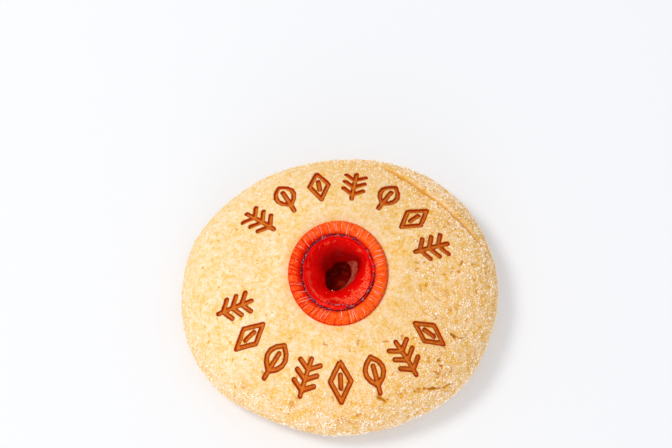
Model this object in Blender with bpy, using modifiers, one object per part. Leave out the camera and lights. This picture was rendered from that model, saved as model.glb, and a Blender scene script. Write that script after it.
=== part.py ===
"""A domed, sugar-dusted biscuit with a pleated red jelly ring round a glossy jelly bowl in its middle.

+X is to the right, +Y is away and +Z is up. The origin is on the ground under the biscuit's middle.
Every piece is drawn about the jelly's axis as a round profile, rho from the axis and z from the ground.
plan_factor then gives each turned piece its uneven, slightly oval plan, and set_down moves the finished
piece to the axis's place.
"""

import math
import random

import bmesh
import bpy
import numpy as np

# The biscuit
WIDTH = 0.0750
DEPTH = 0.0700
RIM_RADIUS = WIDTH / 2
BELLY_HEIGHT = 0.0058
DOME_RISE = 0.0159
DOME_POWER = 2.3
DOME_ROOT = 1.9
BASE_SHARE = 0.90
PLAN_STRETCH = 0.020
PLAN_STRETCH_ANGLE = math.radians(32)
PLAN_LOBES = (
    (45, 18, 0.014),
    (98, 14, -0.012),
    (158, 18, 0.012),
    (208, 18, 0.010),
    (245, 20, -0.024),
    (320, 18, 0.022),
)
PLAN_RIPPLES = ((7, 0.3, 0.0016), (11, 1.9, 0.0014), (17, 4.1, 0.0012))
SWELL = 0.00030
BISCUIT_STEPS = 68
DOME_RINGS = 13

# The jelly's axis stands a little off the biscuit's middle
AXIS_X = -0.00047
AXIS_Y = 0.00015

# The jelly in the middle, from the ring's outer edge inwards
RING_OVAL = 1.108
RING_OUTER = 0.01155
RING_INNER = 0.00845
RING_HEIGHT = 0.0031
RING_CENTRE_Z = 0.0209
RING_SECTION_POWER = 2.4
PLEATS = 50
PLEAT_COLUMNS = 3
PLEAT_DEPTH = 0.00038
PLEAT_UNEVENNESS = 0.28
RING_SECTION_STEPS = 10
SEAM_RADIUS = 0.0081
SEAM_Z = 0.0216
SEAM_THICKNESS = 0.00042
SEAM_POINTS = 56
BOWL_RIM = 0.00775
BOWL_TOP = 0.0216
BOWL_WALL = 0.0012
THROAT_RADIUS = 0.0038
THROAT_Z = 0.0175
HOLLOW_FLOOR = 0.0135
BOWL_STEPS = 42
GAP = 0.0003

# The pressed ornaments, whose strokes are grooves in the crust
STROKE_RADIUS = 0.00058
STROKE_SINK = 0.00012
STROKE_STEP = 0.0030
ORNAMENT_HEIGHT = 0.0080
LOWER_ARC = (8, 197.0, 327.0, 0.0250, -1)
UPPER_ARC = (7, 18.0, 143.0, 0.0230, 1)
ORNAMENT_TURN = 4.0
ORNAMENT_SIZE_SPREAD = 0.04

# The fold along the far right shoulder, and the short cracks at the near right
FOLD_START = (0.0085, 0.0312)
FOLD_MIDDLE = (0.0213, 0.0219)
FOLD_END = (0.0345, 0.0095)
FOLD_RADIUS = 0.00062
FOLD_LIP = 0.00055
FOLD_POINTS = 14
CRACK_RADIUS = 0.00034
CRACKS = (
    ((0.0262, -0.0133), (0.0283, -0.0139), (0.0298, -0.0131)),
    ((0.0231, -0.0188), (0.0239, -0.0213), (0.0226, -0.0231)),
    ((0.0178, -0.0262), (0.0209, -0.0256), (0.0243, -0.0246), (0.0266, -0.0233)),
    ((0.0091, -0.0281), (0.0107, -0.0288), (0.0121, -0.0281)),
    ((0.0283, 0.0021), (0.0291, 0.0046)),
)


def clear_scene():
    for obj in list(bpy.data.objects):
        bpy.data.objects.remove(obj, do_unlink=True)


def new_collection(name):
    collection = bpy.data.collections.new(name)
    bpy.context.scene.collection.children.link(collection)
    return collection


def principled(name, colour, roughness, coat=0.0):
    material = bpy.data.materials.new(name)
    material.use_nodes = True
    shader = material.node_tree.nodes["Principled BSDF"]
    shader.inputs["Base Color"].default_value = (*colour, 1.0)
    shader.inputs["Roughness"].default_value = roughness
    shader.inputs["Metallic"].default_value = 0.0
    shader.inputs["Coat Weight"].default_value = coat
    return material


def ramp(low, high, value):
    """0 below low, 1 above high, and a smooth rise between."""
    share = np.clip((value - low) / (high - low), 0.0, 1.0)
    return share * share * (3.0 - 2.0 * share)


def oval(angle, ratio):
    """The radius at this angle of an oval 1 wide and ratio deep."""
    return 1.0 / np.hypot(np.cos(angle), np.sin(angle) / ratio)


def outline_factor(angle):
    """The biscuit's uneven outline, as a multiple of RIM_RADIUS."""
    factor = oval(angle, DEPTH / WIDTH) * (1.0 + PLAN_STRETCH * np.cos(2.0 * (angle - PLAN_STRETCH_ANGLE)))
    for middle, spread, amount in PLAN_LOBES:
        turn = np.angle(np.exp(1j * (angle - math.radians(middle))))
        factor = factor + amount * np.exp(-((turn / math.radians(spread)) ** 2))
    for count, phase, amount in PLAN_RIPPLES:
        factor = factor + amount * np.sin(count * angle + phase)
    return factor - AXIS_X / RIM_RADIUS * np.cos(angle)


def plan_factor(rho, angle):
    """How much a profile's radius is stretched at this angle: round in the throat, oval at the ring, then uneven."""
    inner = oval(angle, 1.0 + (RING_OVAL - 1.0) * ramp(THROAT_RADIUS, BOWL_RIM, rho))
    share = ramp(RING_OUTER + 0.001, RIM_RADIUS - 0.004, rho)
    return inner * (1.0 - share) + outline_factor(angle) * share


def profile_radius(x, y):
    """The profile's radius whose plan passes through (x, y)."""
    angle = np.arctan2(y, x)
    across = np.hypot(x, y)
    rho = across
    for _ in range(12):
        rho = across / plan_factor(rho, angle)
    return rho


def fold_circle():
    """Centre and radius of the circle through the fold's three points."""
    (ax, ay), (bx, by), (cx, cy) = FOLD_START, FOLD_MIDDLE, FOLD_END
    twice = 2.0 * (ax * (by - cy) + bx * (cy - ay) + cx * (ay - by))
    a, b, c = ax * ax + ay * ay, bx * bx + by * by, cx * cx + cy * cy
    x = (a * (by - cy) + b * (cy - ay) + c * (ay - by)) / twice
    y = (a * (cx - bx) + b * (ax - cx) + c * (bx - ax)) / twice
    return x, y, math.hypot(ax - x, ay - y)


def fold_place(x, y):
    """(distance outwards from the fold, share of the way along it) of a point."""
    cx, cy, radius = fold_circle()
    start = math.atan2(FOLD_START[1] - cy, FOLD_START[0] - cx)
    end = math.atan2(FOLD_END[1] - cy, FOLD_END[0] - cx)
    return np.hypot(x - cx, y - cy) - radius, (np.arctan2(y - cy, x - cx) - start) / (end - start)


def fold_lip(x, y):
    """How far the crust outside the fold is lifted."""
    outwards, along = fold_place(x, y)
    ends = ramp(-0.02, 0.2, along) * (1.0 - ramp(0.8, 1.05, along))
    return FOLD_LIP * ends * ramp(-0.0002, 0.0010, outwards) * (1.0 - ramp(0.0016, 0.0048, outwards))


def swell(x, y):
    """Soft unevenness of the baked dome."""
    waves = np.sin(170.0 * x + 60.0 * y + 0.7) + np.sin(-110.0 * x + 190.0 * y + 2.1)
    waves = waves + 0.6 * np.sin(330.0 * x - 240.0 * y + 4.0)
    return SWELL * waves


def dome_height(rho):
    share = np.clip(rho / RIM_RADIUS, 0.0, 1.0)
    return BELLY_HEIGHT + DOME_RISE * (1.0 - share**DOME_POWER) ** (1.0 / DOME_ROOT)


def unevenness(rho, x, y):
    """What is added to the dome's height: nothing at the jelly or at the rim."""
    fade = ramp(RING_OUTER + 0.0008, RING_OUTER + 0.0060, rho) * (1.0 - ramp(0.90, 1.0, rho / RIM_RADIUS))
    return fade * (swell(x, y) + fold_lip(x, y))


def crust_height(x, y):
    """Height of the dome's surface over (x, y)."""
    rho = profile_radius(x, y)
    return dome_height(rho) + unevenness(rho, x, y)


def turned(name, profile, steps):
    """A mesh object turned from a profile of (rho, z) points that runs down its outer side."""
    mesh = bpy.data.meshes.new(name + "_profile")
    links = [(i, i + 1) for i in range(len(profile) - 1)]
    mesh.from_pydata([(rho, 0.0, z) for rho, z in profile], links, [])
    guide = bpy.data.objects.new(name + "_profile", mesh)
    bpy.context.scene.collection.objects.link(guide)
    screw = guide.modifiers.new("turn", "SCREW")
    screw.steps = steps
    screw.render_steps = steps
    screw.use_merge_vertices = True
    screw.merge_threshold = 0.00001
    piece = as_mesh(guide, name)
    bpy.context.scene.collection.objects.link(piece)
    return piece


def as_mesh(source, name):
    """A mesh object made from what a curve or a modifier gives, with loose caps welded. The source is removed."""
    bpy.context.view_layer.update()
    evaluated = source.evaluated_get(bpy.context.evaluated_depsgraph_get())
    mesh = bpy.data.meshes.new_from_object(evaluated)
    mesh.name = name
    work = bmesh.new()
    work.from_mesh(mesh)
    bmesh.ops.remove_doubles(work, verts=work.verts, dist=0.000001)
    bmesh.ops.recalc_face_normals(work, faces=work.faces)
    work.to_mesh(mesh)
    work.free()
    piece = bpy.data.objects.new(name, mesh)
    piece.matrix_world = source.matrix_world
    bpy.data.objects.remove(source, do_unlink=True)
    return piece


def set_down(piece, collection):
    """Stands the piece on the jelly's axis and keeps it in this collection alone."""
    piece.location.x = AXIS_X
    piece.location.y = AXIS_Y
    for holder in list(piece.users_collection):
        holder.objects.unlink(piece)
    collection.objects.link(piece)


def give_plan(piece, extra_height=None):
    """Moves each vertex of a turned piece out to its plan, and up by what extra_height gives."""
    mesh = piece.data
    places = np.empty(len(mesh.vertices) * 3)
    mesh.vertices.foreach_get("co", places)
    places = places.reshape(-1, 3)
    rho = np.hypot(places[:, 0], places[:, 1])
    factor = plan_factor(rho, np.arctan2(places[:, 1], places[:, 0]))
    places[:, 0] *= factor
    places[:, 1] *= factor
    if extra_height:
        places[:, 2] += extra_height(rho, places)
    mesh.vertices.foreach_set("co", places.ravel())
    mesh.update()


def shade(piece, material):
    piece.data.materials.clear()
    piece.data.materials.append(material)
    piece.data.shade_smooth()
    piece.data.set_sharp_from_angle(angle=math.radians(50))


def bowl_wall():
    """Inner wall of the hollow, from its floor up to the rim, as (rho, z) points."""
    points = [(THROAT_RADIUS - 0.0008, HOLLOW_FLOOR), (THROAT_RADIUS - 0.0002, HOLLOW_FLOOR + 0.0007)]
    points.append((THROAT_RADIUS, HOLLOW_FLOOR + 0.0022))
    lip = BOWL_RIM - 0.0005
    for i in range(6):
        share = i / 5
        z = THROAT_Z + (BOWL_TOP - 0.0002 - THROAT_Z) * share
        points.append((THROAT_RADIUS + (lip - THROAT_RADIUS) * share**1.25, z))
    return points


def bowl_outside(clearance):
    """Outer side of the bowl, from its rim down to its underside, moved out by a clearance."""
    points = []
    for i in range(5):
        share = 1.0 - i / 4
        z = THROAT_Z - 0.0012 + (BOWL_TOP - 0.0006 - THROAT_Z + 0.0012) * share
        rho = THROAT_RADIUS + BOWL_WALL + (BOWL_RIM - THROAT_RADIUS - BOWL_WALL) * share**1.15
        points.append((rho + clearance, z))
    points.append((THROAT_RADIUS + BOWL_WALL + clearance, HOLLOW_FLOOR - 0.0002))
    points.append((THROAT_RADIUS + BOWL_WALL - 0.0009 + clearance, HOLLOW_FLOOR - BOWL_WALL - clearance))
    return points


def biscuit_profile():
    """From the axis in the recess, up its wall, over the dome, down the side and back along the flat base."""
    seat_floor = RING_CENTRE_Z - RING_HEIGHT / 2 - GAP
    recess = [point for point in bowl_outside(GAP) if point[1] < seat_floor - 0.0004]
    profile = [(0.0, HOLLOW_FLOOR - BOWL_WALL - GAP)]
    profile += reversed(recess)
    profile.append((recess[0][0] + 0.0008, seat_floor))
    profile.append((RING_OUTER - 0.0004, seat_floor))
    profile.append((RING_OUTER + GAP, seat_floor + 0.0006))
    profile.append((RING_OUTER + GAP, RING_CENTRE_Z - 0.0004))
    profile.append((RING_OUTER + GAP + 0.0003, dome_height(RING_OUTER + 0.0006) - 0.00015))
    for i in range(1, DOME_RINGS + 1):
        turn = math.radians(90) * (0.36 + 0.64 * i / DOME_RINGS)
        rho = RIM_RADIUS * math.sin(turn) ** (2.0 / DOME_POWER)
        profile.append((rho, float(dome_height(rho))))
    for i in range(1, 5):
        turn = math.radians(90) * i / 4
        rho = RIM_RADIUS * (BASE_SHARE + (1.0 - BASE_SHARE) * math.cos(turn))
        profile.append((rho, BELLY_HEIGHT * (1.0 - math.sin(turn))))
    profile.append((0.0, 0.0))
    return profile


def dome_unevenness(rho, places):
    """Extra height of the biscuit's vertices: only those on the dome are moved."""
    on_dome = (places[:, 2] > BELLY_HEIGHT + 0.0002) & (rho > RING_OUTER + 0.0008)
    return np.where(on_dome, unevenness(rho, places[:, 0], places[:, 1]), 0.0)


def ornament_shapes():
    """Three generic ornaments, each a list of open or closed strokes about its own middle, one unit high."""
    ear = [[(0.0, -0.5), (0.0, 0.5)]]
    ear += [[(-0.30, v + 0.20), (0.0, v), (0.30, v + 0.20)] for v in (-0.36, -0.08, 0.20)]
    lozenge = [[(0.0, 0.5), (0.29, 0.0), (0.0, -0.5), (-0.29, 0.0), (0.0, 0.5)], [(0.0, -0.16), (0.0, 0.16)]]
    side = [(0.27 * math.sin(math.pi * i / 5) ** 0.8, 0.5 - 0.8 * i / 5) for i in range(6)]
    leaf = [side, [(-u, v) for u, v in side], [(0.0, 0.24), (0.0, -0.5)]]
    return [ear, lozenge, leaf]


def ornament_strokes():
    """Every stroke on the crust as a list of (x, y) points, each ornament placed a little unevenly."""
    draw = random.Random(11)
    shapes = ornament_shapes()
    strokes = []
    for count, first, last, radius, up in (LOWER_ARC, UPPER_ARC):
        for i in range(count):
            angle = math.radians(first + (last - first) * i / (count - 1))
            turn = math.radians(draw.uniform(-ORNAMENT_TURN, ORNAMENT_TURN))
            size = ORNAMENT_HEIGHT * (1.0 + draw.uniform(-ORNAMENT_SIZE_SPREAD, ORNAMENT_SIZE_SPREAD))
            out = (math.cos(angle), math.sin(angle))
            lean = (math.cos(angle + turn) * up, math.sin(angle + turn) * up)
            for stroke in shapes[i % len(shapes)]:
                strokes.append(
                    [
                        (
                            out[0] * radius + size * (u * lean[1] + v * lean[0]),
                            out[1] * radius + size * (-u * lean[0] + v * lean[1]),
                        )
                        for u, v in stroke
                    ]
                )
    return strokes


def refined(points, step):
    """The same line with a point at least every step."""
    line = [points[0]]
    for (ax, ay), (bx, by) in zip(points, points[1:]):
        pieces = max(1, math.ceil(math.hypot(bx - ax, by - ay) / step))
        line += [(ax + (bx - ax) * k / pieces, ay + (by - ay) * k / pieces) for k in range(1, pieces + 1)]
    return line


def groove_cutter(name, line, radius, collection, taper=False):
    """A thin tube along a line on the crust, its middle just under the surface, for cutting a groove."""
    curve = bpy.data.curves.new(name, "CURVE")
    curve.dimensions = "3D"
    curve.bevel_depth = radius
    curve.bevel_resolution = 1
    curve.use_fill_caps = True
    closed = math.dist(line[0], line[-1]) < 1e-7
    if closed:
        line = line[:-1]
    spline = curve.splines.new("POLY")
    spline.points.add(len(line) - 1)
    spline.use_cyclic_u = closed
    for i, (point, (x, y)) in enumerate(zip(spline.points, line)):
        share = i / (len(line) - 1)
        point.co = (x, y, float(crust_height(x, y)) - STROKE_SINK, 1.0)
        point.radius = 0.45 + 0.55 * math.sin(math.pi * share) ** 0.6 if taper else 1.0
    guide = bpy.data.objects.new(name + "_line", curve)
    bpy.context.scene.collection.objects.link(guide)
    cutter = as_mesh(guide, name)
    set_down(cutter, collection)
    cutter.hide_render = True
    cutter.display_type = "WIRE"


def fold_line():
    cx, cy, radius = fold_circle()
    start = math.atan2(FOLD_START[1] - cy, FOLD_START[0] - cx)
    end = math.atan2(FOLD_END[1] - cy, FOLD_END[0] - cx)
    turns = [start + (end - start) * i / (FOLD_POINTS - 1) for i in range(FOLD_POINTS)]
    return [(cx + radius * math.cos(turn), cy + radius * math.sin(turn)) for turn in turns]


def make_cutters(collection):
    for i, stroke in enumerate(ornament_strokes()):
        groove_cutter(f"stroke_{i}", refined(stroke, STROKE_STEP), STROKE_RADIUS, collection)
    groove_cutter("fold", fold_line(), FOLD_RADIUS, collection, taper=True)
    for i, crack in enumerate(CRACKS):
        groove_cutter(f"crack_{i}", crack, CRACK_RADIUS, collection, taper=True)


def make_biscuit(collection, cutters):
    biscuit = turned("biscuit", biscuit_profile(), BISCUIT_STEPS)
    give_plan(biscuit, dome_unevenness)
    work = bmesh.new()
    work.from_mesh(biscuit.data)
    bmesh.ops.triangulate(work, faces=work.faces)
    work.to_mesh(biscuit.data)
    work.free()
    cut = biscuit.modifiers.new("pressed", "BOOLEAN")
    cut.operation = "DIFFERENCE"
    cut.operand_type = "COLLECTION"
    cut.collection = cutters
    shade(biscuit, principled("crust", (0.84, 0.60, 0.33), 0.85))
    set_down(biscuit, collection)


def pleat_creases():
    """Angles of the ring's creases, unevenly spaced, and the first one again a full turn on."""
    draw = random.Random(5)
    width = 2.0 * math.pi / PLEATS
    creases = [(i + draw.uniform(-PLEAT_UNEVENNESS, PLEAT_UNEVENNESS)) * width for i in range(PLEATS)]
    return creases + [creases[0] + 2.0 * math.pi]


def make_ring(collection):
    """A torus whose round section becomes a plump flat-sided one, drawn in at every crease."""
    columns = PLEATS * PLEAT_COLUMNS
    middle = (RING_OUTER + RING_INNER) / 2
    bpy.ops.mesh.primitive_torus_add(
        major_segments=columns,
        minor_segments=RING_SECTION_STEPS,
        major_radius=middle,
        minor_radius=(RING_OUTER - RING_INNER) / 2,
    )
    ring = bpy.context.object
    ring.name = "jelly_ring"
    ring.data.name = "jelly_ring"
    creases = pleat_creases()
    for vertex in ring.data.vertices:
        column = round(math.atan2(vertex.co.y, vertex.co.x) / (2.0 * math.pi) * columns) % columns
        pleat, step = divmod(column, PLEAT_COLUMNS)
        angle = creases[pleat] + (creases[pleat + 1] - creases[pleat]) * step / PLEAT_COLUMNS
        turn = math.atan2(vertex.co.z, math.hypot(vertex.co.x, vertex.co.y) - middle)
        c, s = math.cos(turn), math.sin(turn)
        plump = (abs(c) ** RING_SECTION_POWER + abs(s) ** RING_SECTION_POWER) ** (-1.0 / RING_SECTION_POWER)
        drawn_in = PLEAT_DEPTH if step == 0 and s > -0.2 else 0.0
        rho = middle + c * (plump * (RING_OUTER - RING_INNER) / 2 - drawn_in * 0.5)
        z = RING_CENTRE_Z + s * (plump * RING_HEIGHT / 2 - drawn_in)
        vertex.co = (rho * math.cos(angle), rho * math.sin(angle), z)
    give_plan(ring)
    shade(ring, principled("jelly_band", (0.87, 0.10, 0.02), 0.35))
    set_down(ring, collection)


def make_bowl(collection):
    """The funnel of the hollow, with a rounded rim, a throat and a closed floor."""
    profile = [(0.0, HOLLOW_FLOOR)]
    profile += bowl_wall()
    profile.append((BOWL_RIM - 0.00025, BOWL_TOP))
    profile += bowl_outside(0.0)
    profile.append((0.0, HOLLOW_FLOOR - BOWL_WALL))
    bowl = turned("jelly_bowl", profile, BOWL_STEPS)
    give_plan(bowl)
    shade(bowl, principled("jelly_bowl", (0.55, 0.005, 0.004), 0.12, coat=0.6))
    set_down(bowl, collection)


def make_seam(collection):
    """The dark strand in the groove between the ring and the bowl, one closed loop."""
    curve = bpy.data.curves.new("seam_strand", "CURVE")
    curve.dimensions = "3D"
    curve.bevel_depth = SEAM_THICKNESS / 2
    curve.bevel_resolution = 1
    spline = curve.splines.new("POLY")
    spline.points.add(SEAM_POINTS - 1)
    spline.use_cyclic_u = True
    for i, point in enumerate(spline.points):
        angle = 2.0 * math.pi * i / SEAM_POINTS
        rho = SEAM_RADIUS * float(plan_factor(SEAM_RADIUS, angle))
        point.co = (rho * math.cos(angle), rho * math.sin(angle), SEAM_Z, 1.0)
    guide = bpy.data.objects.new("seam_line", curve)
    bpy.context.scene.collection.objects.link(guide)
    strand = as_mesh(guide, "seam_strand")
    shade(strand, principled("seam", (0.035, 0.008, 0.030), 0.45))
    set_down(strand, collection)


def main():
    clear_scene()
    cookie = new_collection("cookie")
    cutters = new_collection("cutters")
    make_cutters(cutters)
    make_biscuit(cookie, cutters)
    make_ring(cookie)
    make_bowl(cookie)
    make_seam(cookie)


main()
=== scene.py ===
"""The looks of a jelly-centred sugar biscuit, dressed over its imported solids.

Lengths are in metres. Like the solids, every piece is drawn about the jelly's axis, from a radius rho of its
round profile, an angle and a height z, and is then moved to the axis's place.
"""

import math
import random

import bpy
import numpy as np
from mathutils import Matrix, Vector, noise


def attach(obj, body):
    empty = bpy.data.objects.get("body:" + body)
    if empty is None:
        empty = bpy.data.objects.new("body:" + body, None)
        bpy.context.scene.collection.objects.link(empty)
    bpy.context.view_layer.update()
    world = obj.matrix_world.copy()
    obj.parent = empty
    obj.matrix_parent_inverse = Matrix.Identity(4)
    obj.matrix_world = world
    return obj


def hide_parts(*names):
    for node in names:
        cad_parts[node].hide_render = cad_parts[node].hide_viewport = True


MM = 0.001

# The biscuit, as in the solids
WIDTH = 0.0750
DEPTH = 0.0700
RIM_RADIUS = WIDTH / 2
BELLY_HEIGHT = 0.0058
DOME_RISE = 0.0159
DOME_POWER = 2.3
DOME_ROOT = 1.9
BASE_SHARE = 0.90
PLAN_STRETCH = 0.020
PLAN_STRETCH_ANGLE = math.radians(32)
PLAN_LOBES = (
    (45, 18, 0.014),
    (98, 14, -0.012),
    (158, 18, 0.012),
    (208, 18, 0.010),
    (245, 20, -0.024),
    (320, 18, 0.022),
)
PLAN_RIPPLES = ((7, 0.3, 0.0016), (11, 1.9, 0.0014), (17, 4.1, 0.0012))
SWELL = 0.00030
AXIS_X = -0.00047
AXIS_Y = 0.00015

# The jelly, as in the solids
RING_OVAL = 1.108
RING_OUTER = 0.01155
RING_INNER = 0.00845
RING_HEIGHT = 0.0031
RING_CENTRE_Z = 0.0209
RING_SECTION_POWER = 2.4
PLEATS = 50
PLEAT_DEPTH = 0.00038
PLEAT_UNEVENNESS = 0.28
SEAM_RADIUS = 0.0081
SEAM_Z = 0.0216
BOWL_RIM = 0.00775
BOWL_TOP = 0.0216
BOWL_WALL = 0.0012
THROAT_RADIUS = 0.0038
THROAT_Z = 0.0175
HOLLOW_FLOOR = 0.0135
GAP = 0.0003

# The pressed ornaments, the fold and the cracks, as in the solids
STROKE_RADIUS = 0.00058
ORNAMENT_HEIGHT = 0.0080
LOWER_ARC = (8, 197.0, 327.0, 0.0250, -1)
UPPER_ARC = (7, 18.0, 143.0, 0.0230, 1)
ORNAMENT_TURN = 4.0
ORNAMENT_SIZE_SPREAD = 0.04
FOLD_START = (0.0085, 0.0312)
FOLD_MIDDLE = (0.0213, 0.0219)
FOLD_END = (0.0345, 0.0095)
FOLD_LIP = 0.00055
CRACKS = (
    ((0.0262, -0.0133), (0.0283, -0.0139), (0.0298, -0.0131)),
    ((0.0231, -0.0188), (0.0239, -0.0213), (0.0226, -0.0231)),
    ((0.0178, -0.0262), (0.0209, -0.0256), (0.0243, -0.0246), (0.0266, -0.0233)),
    ((0.0091, -0.0281), (0.0107, -0.0288), (0.0121, -0.0281)),
    ((0.0283, 0.0021), (0.0291, 0.0046)),
)

# The fine surface of the crust
CRUST_COLUMNS = 672
RECESS, DOME, SIDE, BASE = range(4)
SHOULDER = 0.0352
RIM_DRAWN_IN = 0.00018
LIP_DIP = 0.00012
LIP_ROUND = 0.00012
STROKE_DEPTH = 0.00062
STROKE_CROWN = 0.00010
STROKE_LIP = 0.00008
CRACK_WIDTH = 0.00032
CRACK_DEPTH = 0.00022
SMALL_CRACKS = 52
CRACKLE_DEPTH = 0.00010
WRINKLE_DEPTH = 0.00025
PITS = 130
PIT_DEPTH = 0.00012
FOLD_WIDTH = 0.00030
FOLD_DEPTH = 0.00046
CREASE = ((0.0157, 0.0090), (0.0148, 0.0068), (0.0137, 0.0056), (0.0123, 0.0048))
CREASE_WIDTH = 0.00036
CREASE_DEPTH = 0.00016

# The sugar: name, number of crystals, their smallest and largest size, seed, evenness of the strewing, and
# whether they are worn round. Under it, how high their middles lie, as shares of their size
SUGAR = (
    ("sugar_coarse", 2600, 0.00036, 0.00058, 101, 0.06, True),
    ("sugar_medium", 10500, 0.00022, 0.00036, 102, 0.14, True),
    ("sugar_fine", 22000, 0.00015, 0.00025, 103, 0.35, False),
)
SUNK_WORN = (-0.30, 0.02)
SUNK_SHARP = (-0.22, 0.06)

# The pleats: how far those on the near left lean round the ring, in radians, and how far each stands out
PLEAT_SLANT = 0.060
PLEAT_SCALLOP = 0.00020

# The hollow's uneven outline: angle, radius of the throat's edge, radius of the dark hole under it
THROAT_OUTLINE = (
    (-176, 0.00300, 0.00295),
    (-128, 0.00360, 0.00355),
    (-112, 0.00345, 0.00338),
    (-73, 0.00290, 0.00232),
    (-32, 0.00295, 0.00218),
    (0, 0.00385, 0.00264),
    (18, 0.00462, 0.00325),
    (38, 0.00548, 0.00378),
    (52, 0.00468, 0.00430),
    (68, 0.00418, 0.00413),
    (92, 0.00398, 0.00393),
    (102, 0.00376, 0.00372),
    (113, 0.00314, 0.00309),
    (125, 0.00308, 0.00303),
    (146, 0.00322, 0.00316),
)
LEDGE_DROP = 0.0010
THROAT_LIFT = 0.0018
RIM_ROUND = 0.00025

# The small roll of jelly: the angles of its ends, its radius about the axis and its thickness
ROLL = (-128.0, -76.0, 0.00790, 0.00056)

# The camera
CAMERA_ELEVATION = 69.0
CAMERA_DISTANCE = 0.42
CAMERA_LENS = 93.3
CAMERA_TARGET = (-0.00098, 0.01705, 0.0085)

# The lights: name, place, size, power and colour
LIGHTS = (
    ("key", (-0.63, 0.17, 1.05), 0.40, 6.9, (1.0, 0.985, 0.96)),
    ("fill", (-0.05, -0.78, 0.30), 0.60, 1.5, (1.0, 0.99, 0.98)),
)
LIGHT_AIM = (0.0, 0.0, 0.01)
WORLD_COLOUR = (0.96, 0.97, 1.0, 1.0)
WORLD_STRENGTH = 0.72
FLOOR_HALF = 3.0
FLOOR_COLOUR = (0.650, 0.654, 0.664)
FLOOR_GLOW_COLOUR = (0.94, 0.965, 1.0)
FLOOR_GLOW = 0.225


# Shape, as in the solids


def ramp(low, high, value):
    """0 below low, 1 above high, and a smooth rise between."""
    share = np.clip((value - low) / (high - low), 0.0, 1.0)
    return share * share * (3.0 - 2.0 * share)


def fall(low, high, value):
    """1 below low, 0 above high, and a smooth fall between."""
    return 1.0 - ramp(low, high, value)


def oval(angle, ratio):
    """The radius at this angle of an oval 1 wide and ratio deep."""
    return 1.0 / np.hypot(np.cos(angle), np.sin(angle) / ratio)


def hump(angle, middle, spread, power=2):
    """1 in the direction middle, fading to both sides of it as spread says. Both are in degrees."""
    turn = np.angle(np.exp(1j * (angle - math.radians(middle)))) / math.radians(spread)
    return np.exp(-(turn**power))


def outline_factor(angle):
    """The biscuit's uneven outline, as a multiple of RIM_RADIUS."""
    factor = oval(angle, DEPTH / WIDTH) * (1.0 + PLAN_STRETCH * np.cos(2.0 * (angle - PLAN_STRETCH_ANGLE)))
    for middle, spread, amount in PLAN_LOBES:
        factor = factor + amount * hump(angle, middle, spread)
    for count, phase, amount in PLAN_RIPPLES:
        factor = factor + amount * np.sin(count * angle + phase)
    return factor - AXIS_X / RIM_RADIUS * np.cos(angle)


def plan_factor(rho, angle):
    """How far a profile's radius is stretched: round in the throat, oval at the ring, uneven outside it."""
    inner = oval(angle, 1.0 + (RING_OVAL - 1.0) * ramp(THROAT_RADIUS, BOWL_RIM, rho))
    share = ramp(RING_OUTER + 0.001, RIM_RADIUS - 0.004, rho)
    return inner * (1.0 - share) + outline_factor(angle) * share


def fold_circle():
    """Centre and radius of the circle through the fold's three points."""
    (ax, ay), (bx, by), (cx, cy) = FOLD_START, FOLD_MIDDLE, FOLD_END
    twice = 2.0 * (ax * (by - cy) + bx * (cy - ay) + cx * (ay - by))
    a, b, c = ax * ax + ay * ay, bx * bx + by * by, cx * cx + cy * cy
    x = (a * (by - cy) + b * (cy - ay) + c * (ay - by)) / twice
    y = (a * (cx - bx) + b * (ax - cx) + c * (bx - ax)) / twice
    return x, y, math.hypot(ax - x, ay - y)


def fold_place(x, y):
    """(distance outwards from the fold, share of the way along it) of a point."""
    cx, cy, radius = fold_circle()
    start = math.atan2(FOLD_START[1] - cy, FOLD_START[0] - cx)
    end = math.atan2(FOLD_END[1] - cy, FOLD_END[0] - cx)
    return np.hypot(x - cx, y - cy) - radius, (np.arctan2(y - cy, x - cx) - start) / (end - start)


def fold_lip(x, y):
    """How far the crust outside the fold is lifted."""
    outwards, along = fold_place(x, y)
    ends = ramp(-0.02, 0.2, along) * fall(0.8, 1.05, along)
    return FOLD_LIP * ends * ramp(-0.0002, 0.0010, outwards) * fall(0.0016, 0.0048, outwards)


def swell(x, y):
    """Soft unevenness of the baked dome."""
    waves = np.sin(170.0 * x + 60.0 * y + 0.7) + np.sin(-110.0 * x + 190.0 * y + 2.1)
    waves = waves + 0.6 * np.sin(330.0 * x - 240.0 * y + 4.0)
    return SWELL * waves


def dome_height(rho):
    share = np.clip(rho / RIM_RADIUS, 0.0, 1.0)
    return BELLY_HEIGHT + DOME_RISE * (1.0 - share**DOME_POWER) ** (1.0 / DOME_ROOT)


def unevenness(rho, x, y):
    """What is added to the dome's height: nothing at the jelly or at the rim."""
    fade = ramp(RING_OUTER + 0.0008, RING_OUTER + 0.0060, rho) * fall(0.90, 1.0, rho / RIM_RADIUS)
    return fade * (swell(x, y) + fold_lip(x, y))


def ornament_shapes():
    """Three generic ornaments, each a list of open or closed strokes about its own middle, one unit high."""
    ear = [[(0.0, -0.5), (0.0, 0.5)]]
    ear += [[(-0.30, v + 0.20), (0.0, v), (0.30, v + 0.20)] for v in (-0.36, -0.08, 0.20)]
    lozenge = [[(0.0, 0.5), (0.29, 0.0), (0.0, -0.5), (-0.29, 0.0), (0.0, 0.5)], [(0.0, -0.16), (0.0, 0.16)]]
    side = [(0.27 * math.sin(math.pi * i / 5) ** 0.8, 0.5 - 0.8 * i / 5) for i in range(6)]
    leaf = [side, [(-u, v) for u, v in side], [(0.0, 0.24), (0.0, -0.5)]]
    return [ear, lozenge, leaf]


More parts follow.
